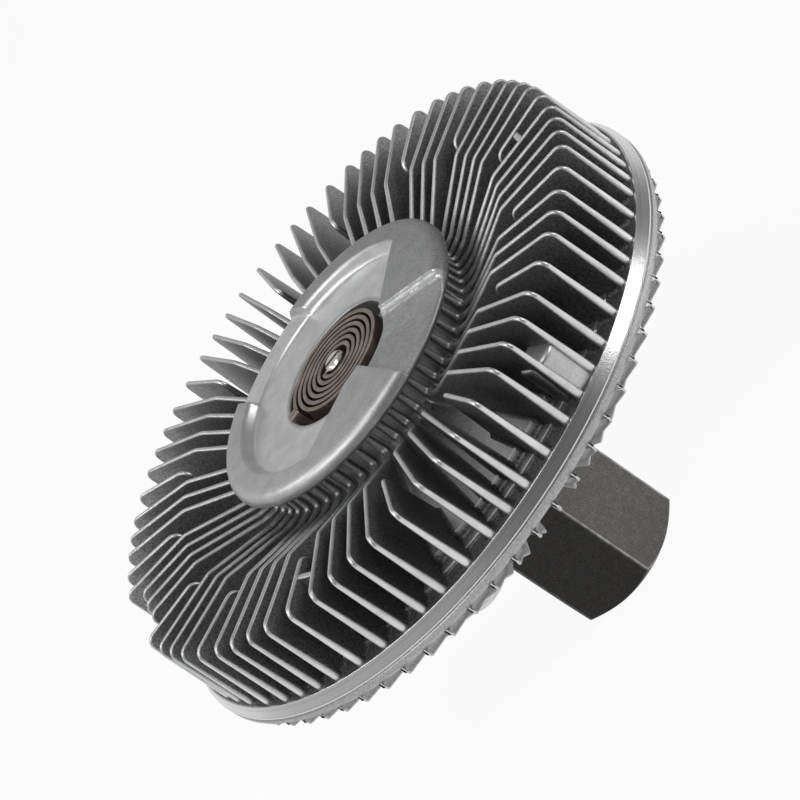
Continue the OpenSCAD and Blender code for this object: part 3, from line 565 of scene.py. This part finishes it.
# The raised parts are darkened as a whole, and more across the hub towards +y as painted shade
rim_fade, rim_shade_across, painted_slope_highlight = 0.45, 0.22, 2.4
ridge_highlight_half, edge_half, edge_drop = 0.3, 0.35, 0.5
for vertex in cover.verts:
    x, y, z = (value / MM for value in vertex.co)
    r = math.hypot(x, y)
    if vertex in top_verts:
        height = hub_face(x, y)
        from_edge = hub_r - r
        if from_edge > hub_round:
            vertex.co.z = height * MM
        else:
            vertex.co.z = min(z, height - edge_drop * max(0, 1 - from_edge) ** 2) * MM
        level = (height - z_face) / (z_hub - z_face)
        to_channel = past(x, y, sector_a, sector_a_sides[0])
        to_second = past(x, y, sector_b, sector_b_sides[1])
        on_ridge = min(abs(to_channel), abs(to_channel + ledge_w)) < ridge_highlight_half
        # Thin lines along both beads get a painted highlight at full brightness
        if on_ridge and 0.02 < level < 0.98:
            vertex[bright_layer] = 1.0
        elif to_channel < -ledge_w and to_second > 0 and x > sector_a[0]:
            vertex[bright_layer] = outlet_skin
        else:
            # The raised rim and sectors are darker than the sunk face, with painted shade across the hub:
            # lighter on the near side, darker towards +y
            smooth = face_skin - (rim_fade + rim_shade_across * y / hub_r) * level
            # Slopes between the levels get a painted highlight, brightest halfway up
            vertex[bright_layer] = min(1.0, smooth + painted_slope_highlight * level * (1 - level))
    elif z > z_under:
        vertex[bright_layer] = side_skin if r > well_r + 1 else well_skin
    elif r < neck_r + 0.5 and z > z_neck + 2:
        vertex[bright_layer] = neck_skin
    else:
        # Thin bands along the ledge's and the step's edges get a painted highlight
        to_edge = min(abs(r - ledge_r + 0.3), abs(r - step_r + 0.6))
        on_edge = to_edge < edge_half and z > z_rim + 0.6
        vertex[bright_layer] = edge_highlight if on_edge else 0.0

fin_root_z, fin_top_z = z_rim - 3, z_hub - 0.7
fin_root_t, fin_crest_t = 2.7, 1.15


def fin_half(z):
    """Half the thickness of a front fin, which is drafted from its root to its crest."""
    t = (z - fin_root_z) / (fin_top_z - fin_root_z)
    return 0.5 * (fin_root_t + (fin_crest_t - fin_root_t) * t)


fin_r, fin_lean, bend_r, short_r = 81.3, 0.7, 59, 61.9
z_corner, z_bend, corner_round = z_hub - 1.2, z_hub - 2.6, 2.8
# Crest brightness at the corner, and its least down by the neck, where painted shade falls in the groove
crest_gloss, neck_crest_shade = 0.9, 0.45
root_fillet, neck_fillet, neck_reach = 1.2, 0.6, neck_r + 3
foot = (fin_r + fin_lean, z_rim - 1.5, 0)
inner_crest = [(bend_r, z_bend, 5), (41.2, z_under - 6, 2.2), (36.5, z_under - 7, 1),
               (neck_r + 1.3, z_under, 0)]


def rubbed_and_shaded(point):
    """How bright a crest is: rubbed and with a painted highlight at the corner, and less and less bright
    down in the groove round the neck, as painted shade.
    """
    if point.x > bend_r:
        return crest_gloss
    return min(crest_gloss, max(neck_crest_shade, (point.x - neck_r) / (bend_r - neck_r) + 0.25))


def foot_fillet(point):
    """The fillet at a fin's foot, which is finer on the neck, where only low ribs are left of the fins."""
    return root_fillet if point.x > neck_reach else neck_fillet


def foot_skin(point):
    """How bright a fin's foot is: as cast, and smoother on the neck."""
    return 0.0 if point.x > neck_reach else neck_skin


long_crest = rounded([foot, (fin_r, z_corner, corner_round)] + inner_crest)
milled_r = fin_r - 4.6
milled_crest = rounded([foot, (fin_r + 0.4, z_rim + 8, 1), (milled_r, z_rim + 13, 1),
                        (milled_r, z_corner, corner_round)] + inner_crest)
fin_floor = [(fin_r - 1, z_rim, 0)] + cover_floor[1:]
long_floor = rounded(fin_floor + [(neck_r, z_under + 0.4, 0)], 4)
short_crest = rounded([foot, (fin_r, z_corner, corner_round), (short_r, z_bend, 3.2),
                       (short_r - 1, z_step, 0)])
short_floor = rounded(fin_floor[:3] + [(short_r + 0.4, z_step + 1.6, 0)], 4)
fin_groups = [4, 3, 4, 4, 3, 4, 3, 4, 4, 3, 4, 3, 4, 4, 3]
milled_group, web_group = 10, 2
long_count = sum(fin_groups)
hub_pitch, rim_pitch = 360 / long_count, 4.7
beside = (180 - rim_pitch * (long_count - len(fin_groups)) / 2) / len(fin_groups)
rim_angle = -1.5 * rim_pitch - beside
neck_angle = -1.5 * hub_pitch
for k, count in enumerate(fin_groups):
    fin_shell(cover, bright_layer, short_crest, short_floor, fin_half, around(rim_angle))
    rim_angle += beside
    for i in range(count):
        at_hub, at_rim = math.radians(neck_angle), math.radians(rim_angle)
        start = Vector((math.cos(at_hub), math.sin(at_hub))) * neck_r
        way = Vector((math.cos(at_rim), math.sin(at_rim))) * fin_r - start
        heading = math.atan2(way.y, way.x)
        aside = Matrix.Translation((0, neck_r * math.sin(at_hub - heading), 0))
        crest = milled_crest if k == milled_group and i else long_crest
        fin_shell(cover, bright_layer, crest, long_floor, fin_half, around(math.degrees(heading)) @ aside,
                  rubbed_and_shaded, foot_fillet, foot_skin)
        if i < count - 1:
            rim_angle += rim_pitch
        neck_angle += hub_pitch
    if k == web_group:
        web_from, web_to = rim_angle, rim_angle + beside
    rim_angle += beside
web_r = fin_r - 11.9
web_half = web_r * math.sin(math.radians(web_to - web_from) / 2)
z_web, web_drop, web_thick = z_corner - 1.2, 3, 1.8
web_crest = [Vector((web_half, z_step)), Vector((web_half, z_web)),
             Vector((-web_half, z_web - web_drop)), Vector((-web_half, z_step))]
web_floor = [Vector((web_half - 0.2, z_step)), Vector((0.2 - web_half, z_step))]
web_place = around((web_from + web_to) / 2) @ Matrix.Translation((web_r, 0, 0)) @ around(90)
for side in (1, -1):
    mirrored = Matrix.Scale(side, 4, Vector((0, 1, 0)))
    fin_shell(cover, bright_layer, web_crest, web_floor, lambda z: web_thick / 2, mirrored @ web_place)
pad_r, pad_at, z_pad, pad_middle = 5.2, 76.3, z_rim + 12.2, 0.05
pad_top_skin, pad_side_skin = 0.9, 0.6
pad = rounded([(pad_middle, z_seat, 0), (pad_r, z_seat, 0), (pad_r, z_pad, 1.2), (pad_middle, z_pad, 0)])
for ring in turned(cover, pad, 48, (pad_at, 0)):
    for vertex in ring:
        vertex[bright_layer] = pad_top_skin if vertex.co.z / MM > z_pad - 0.8 else pad_side_skin

cast_front, tree, shader = metal("Cast aluminium, front", 0.4)
skin = placed(tree, grain, {"Patch": 240, "Fleck": 1900})
bright = add(tree, "Attribute", attribute_name="bright").outputs["Fac"]
rough_cast = blend(tree, skin.outputs["Flecks"], grey(0.13, -0.012), grey(0.32, -0.012))
smooth_cast = blend(tree, skin.outputs["Patches"], grey(0.68, -0.006), grey(0.8, -0.004))
tree.links.new(blend(tree, bright, rough_cast, smooth_cast), shader.inputs["Base Color"])
tree.links.new(ranged(tree, bright, 0, 1, 0.55, 0.36), shader.inputs["Roughness"])
bumped(tree, shader, skin.outputs["Height"], 0.3, 0.05)
front_casting = mesh_piece(cover, "front_casting", cast_front)
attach(front_casting, "housing")
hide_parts("front_cover")

# The thermostat: a flat bimetal strip wound into a spiral, tinted brown by its heat treatment.
# Its inner end sits in the slot of the valve shaft and turns it, its folded outer end in a slot of the hub.
coil_low, coil_high = (corner.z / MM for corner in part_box("bimetal_coil"))
strip_half, strip_round = 0.6, 0.25
coil_first, coil_last, coil_turns, anchor = 4.2, 15.2, 6, 240
turn_points = 64
strip_path = []
for i in range(coil_turns * turn_points + 1):
    turn = i / turn_points
    out = coil_first + (coil_last - coil_first) * turn / coil_turns
    strip_path.append(Vector((out * math.cos(math.tau * turn), out * math.sin(math.tau * turn))))
strip_end = 17.9
for i in range(1, 7):
    strip_path.append(Vector((coil_last + (strip_end - coil_last) * i / 6, 0)))
strip = bmesh.new()
section = rounded([(strip_half, coil_low, strip_round), (strip_half, coil_high, strip_round),
                   (-strip_half, coil_high, strip_round), (-strip_half, coil_low, strip_round)], 2)


def wound(bm, path):
    """A closed skin: the strip's section drawn along a path in plan."""
    hoops = []
    for point, across in zip(path, normals(path, 1)):
        hoop = []
        for wide, z in section:
            place = around(anchor) @ Vector((point.x + across.x * wide, point.y + across.y * wide, z))
            hoop.append(bm.verts.new(place * MM))
        hoops.append(hoop)
    for low, high in zip(hoops, hoops[1:]):
        for i in range(len(section)):
            bm.faces.new((low[i - 1], low[i], high[i], high[i - 1]))
    bm.faces.new(hoops[0])
    bm.faces.new(hoops[-1][::-1])


wound(strip, strip_path)
tongue = bmesh.new()
tongue_start, tongue_end = -3, coil_first - strip_half - 0.02
wound(tongue, [Vector((tongue_start + (tongue_end - tongue_start) * i / 6, 0)) for i in range(7)])
fold_low, fold_high, fold_half, fold_round = 14.8, 18.2, 1.7, 0.4
fold = rounded([(fold_low, -fold_half, fold_round), (fold_high, -fold_half, fold_round),
                (fold_high, fold_half, fold_round), (fold_low, fold_half, fold_round)], 3)
fold_rings = []
for z, inset in ((coil_low + 0.1, 0), (coil_high - 0.4, 0), (coil_high - 0.1, 0.25)):
    middle = Vector(((fold_low + fold_high) / 2, 0))
    ring = []
    for point in fold:
        drawn = point + (middle - point).normalized() * inset
        ring.append(strip.verts.new(around(anchor) @ Vector((drawn.x, drawn.y, z)) * MM))
    fold_rings.append(ring)
for low, high in zip(fold_rings, fold_rings[1:]):
    for i in range(len(fold)):
        strip.faces.new((low[i - 1], low[i], high[i], high[i - 1]))
strip.faces.new(fold_rings[0][::-1])
strip.faces.new(fold_rings[-1])

# The tint is rubbed off the strip's edges, in broken stretches
wear, wear_in, wear_out = effect("Worn edges", {"Start": 0.52, "Full": 0.6, "Break": 900}, ["Edge"])
wear_place = add(wear, "TexCoord").outputs["Object"]
wear_noise = add(wear, "TexNoise", {"Vector": wear_place, "Scale": wear_in.outputs["Break"]})
wear_edge = add(wear, "MapRange", {
    "Value": add(wear, "NewGeometry").outputs["Pointiness"],
    "From Min": wear_in.outputs["Start"], "From Max": wear_in.outputs["Full"],
}).outputs["Result"]
wear_broken = calc(wear, "MULTIPLY", wear_edge, ranged(wear, wear_noise.outputs[0], 0.3, 0.6, 0.35, 1.0))
wear.links.new(wear_broken, wear_out.inputs["Edge"])
bimetal, tree, shader = metal("Heat tinted bimetal", 0.4)
skin = placed(tree, grain, {"Patch": 300, "Fleck": 2600})
edge = placed(tree, wear, {"Start": 0.51, "Full": 0.58, "Break": 500})
base = blend(tree, skin.outputs["Patches"], (0.19, 0.14, 0.11, 1), (0.3, 0.24, 0.2, 1))
base = blend(tree, edge.outputs["Edge"], base, (0.46, 0.4, 0.36, 1))
tree.links.new(base, shader.inputs["Base Color"])
bumped(tree, shader, skin.outputs["Height"], 0.15, 0.02)
coil = mesh_piece(strip, "coil_strip", bimetal)
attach(coil, "housing")
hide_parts("bimetal_coil")
coil_tongue = mesh_piece(tongue, "coil_tongue", bimetal)
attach(coil_tongue, "valve")

# The studio: a white paper floor under the standing clutch, four soft lamps round it, a narrow lamp
# on the hexagon, and a camera in front, rolled so that the axis leans to the upper left.
floor_half, paper_glow = 4, 0.92
floor_corners = [(-floor_half, -floor_half, 0), (floor_half, -floor_half, 0),
                 (floor_half, floor_half, 0), (-floor_half, floor_half, 0)]
floor_mesh = bpy.data.meshes.new("floor")
floor_mesh.from_pydata(floor_corners, [], [(0, 1, 2, 3)])
floor = bpy.data.objects.new("floor", floor_mesh)
bpy.context.scene.collection.objects.link(floor)
paper, tree, shader = metal("White paper", 0.9, metallic=0.0)
shader.inputs["Base Color"].default_value = (0.86, 0.86, 0.86, 1)
shader.inputs["Specular IOR Level"].default_value = 0.0
seen = add(tree, "LightPath")
mirrored_rays = calc(tree, "MAXIMUM", seen.outputs["Is Glossy Ray"], seen.outputs["Is Transmission Ray"])
seen_rays = calc(tree, "MAXIMUM", seen.outputs["Is Camera Ray"], mirrored_rays)
rays = calc(tree, "MULTIPLY", seen_rays, paper_glow)
glow = add(tree, "Emission", {"Color": (1, 1, 1, 1), "Strength": 1.0})
mix = add(tree, "MixShader", {0: rays, 1: shader.outputs[0], 2: glow.outputs[0]})
tree.links.new(mix.outputs[0], tree.nodes["Material Output"].inputs["Surface"])
floor_mesh.materials.append(paper)

world = bpy.data.worlds.new("Studio")
bpy.context.scene.world = world
world.use_nodes = True
tree = world.node_tree
bright_azimuth, bright_rise = math.radians(205), 0.5
bright_way = Vector((math.cos(bright_azimuth), math.sin(bright_azimuth), bright_rise)).normalized()
view_way = add(tree, "TexCoord").outputs["Generated"]
toward = add(tree, "VectorMath", {0: view_way, 1: bright_way}, operation="DOT_PRODUCT")
sky_dark, sky_light = 0.14, 0.58
sky = ranged(tree, toward.outputs["Value"], -0.35, 0.9, sky_dark, sky_light)
tree.links.new(blend(tree, sky, (0, 0, 0, 1), (1, 1, 1, 1)), tree.nodes["Background"].inputs["Color"])


lamp_distance, lamp_aim = 1.0, Vector((0, 0, 60)) * MM


def softbox(name, azimuth, elevation, width, height, power):
    """A soft lamp round the clutch, aimed at its middle, with its size in metres and its power in watts."""
    lamp = bpy.data.lights.new(name, "AREA")
    lamp.shape = "RECTANGLE"
    lamp.energy = power
    lamp.size = width
    lamp.size_y = height
    holder = bpy.data.objects.new(name, lamp)
    a, e = math.radians(azimuth), math.radians(elevation)
    back = Vector((math.cos(a) * math.cos(e), math.sin(a) * math.cos(e), math.sin(e)))
    holder.location = back * lamp_distance + lamp_aim
    holder.rotation_mode = "QUATERNION"
    holder.rotation_quaternion = (-back).to_track_quat("-Z", "Y")
    holder.visible_camera = False
    bpy.context.scene.collection.objects.link(holder)


softbox("right lamp", 48, 23, 0.4, 0.3, 2.2)
softbox("left lamp", -79, 48, 0.75, 0.26, 2.1)
softbox("top lamp", -20, 70, 0.36, 0.3, 1.3)
softbox("back lamp", -140, 47, 0.2, 0.2, 0.6)
snoot = bpy.data.lights.new("snoot", "SPOT")
snoot.energy = 45
snoot.spot_size = math.radians(7)
snoot.spot_blend = 0.6
snoot.shadow_soft_size = 0.03
snoot_holder = bpy.data.objects.new("snoot", snoot)
hexagon_middle = Vector((18, 4, 18)) * MM
snoot_azimuth, snoot_elevation, snoot_distance = 42, math.radians(8), 0.8
snoot_way = around(snoot_azimuth) @ Vector((math.cos(snoot_elevation), 0, math.sin(snoot_elevation)))
snoot_holder.location = hexagon_middle + snoot_way * snoot_distance
snoot_holder.rotation_mode = "QUATERNION"
snoot_holder.rotation_quaternion = (-snoot_way).to_track_quat("-Z", "Y")
bpy.context.scene.collection.objects.link(snoot_holder)

PHOTO = 800
px_per_mm = 4.1
aim_height = 65
aim_px = Vector((425.5, 422.7))
view_azimuth, view_elevation, roll = -19.72, 23.63, 55.83
lens_distance = 0.72
a, e, r = (math.radians(x) for x in (view_azimuth, view_elevation, roll))
back = Vector((math.cos(a) * math.cos(e), math.sin(a) * math.cos(e), math.sin(e)))
level = Vector((-math.sin(a), math.cos(a), 0))
upright = back.cross(level)
right = level * math.cos(r) - upright * math.sin(r)
up = level * math.sin(r) + upright * math.cos(r)
shift = (Vector((PHOTO / 2, PHOTO / 2)) - aim_px) / px_per_mm
target = (Vector((0, 0, aim_height)) + right * shift.x - up * shift.y) * MM
camera_data = bpy.data.cameras.new("Camera")
camera_data.sensor_width = 36
camera_data.lens = camera_data.sensor_width * lens_distance / (PHOTO / px_per_mm * MM)
camera_data.clip_end = 50
camera = bpy.data.objects.new("Camera", camera_data)
turn = Matrix((right, up, back)).transposed()
camera.matrix_world = Matrix.Translation(target + back * lens_distance) @ turn.to_4x4()
bpy.context.scene.collection.objects.link(camera)
bpy.context.scene.camera = camera
bpy.context.scene.view_settings.view_transform = "Standard"
